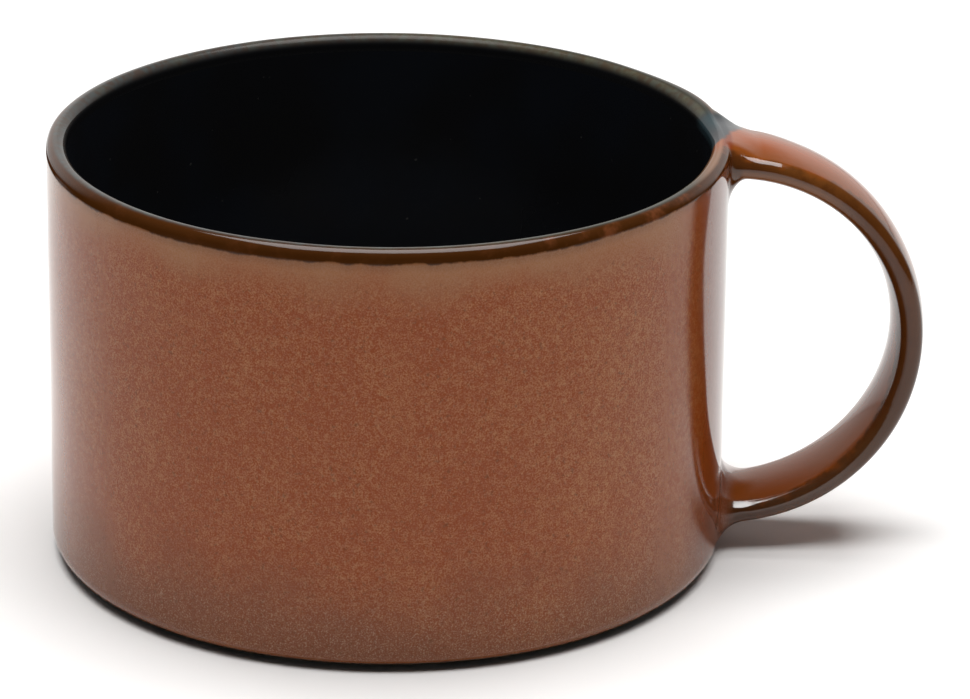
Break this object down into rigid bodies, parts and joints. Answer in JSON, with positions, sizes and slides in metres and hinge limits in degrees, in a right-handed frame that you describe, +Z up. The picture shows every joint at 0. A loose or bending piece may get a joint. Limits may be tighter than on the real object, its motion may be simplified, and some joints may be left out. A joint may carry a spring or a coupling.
{
  "type": "coffee cup",
  "caption": "Low straight-sided glazed stoneware coffee cup, rust brown outside and black inside, with a dark lip and a half-round strap handle for one finger.",
  "frame": {"origin": "centre of the foot ring, on the cup's axis, at the level of the table", "axes": "+Z up along the cup's axis, +X from the axis towards the middle of the handle"},
  "size_m": [0.1064, 0.082, 0.0524],
  "materials": {
    "bare_clay": "unglazed, fine-grained fired clay",
    "rust_glaze": "semi-gloss mottled rust-brown glaze with fine pale and dark specks",
    "handle_rust_glaze": "glossy orange-rust glaze that breaks to dark brown along the edges",
    "brown_glaze": "glossy translucent dark brown glaze",
    "black_glaze": "glossy black glaze"
  },
  "bodies": {
    "root": {"cup_body": "bare_clay", "handle_loop": "bare_clay", "upper_joint": "handle_rust_glaze", "lower_joint": "handle_rust_glaze", "inner_glaze": "black_glaze", "outer_glaze": "rust_glaze", "rim_glaze": "brown_glaze", "handle_glaze": "handle_rust_glaze"}
  },
  "joints": []
}
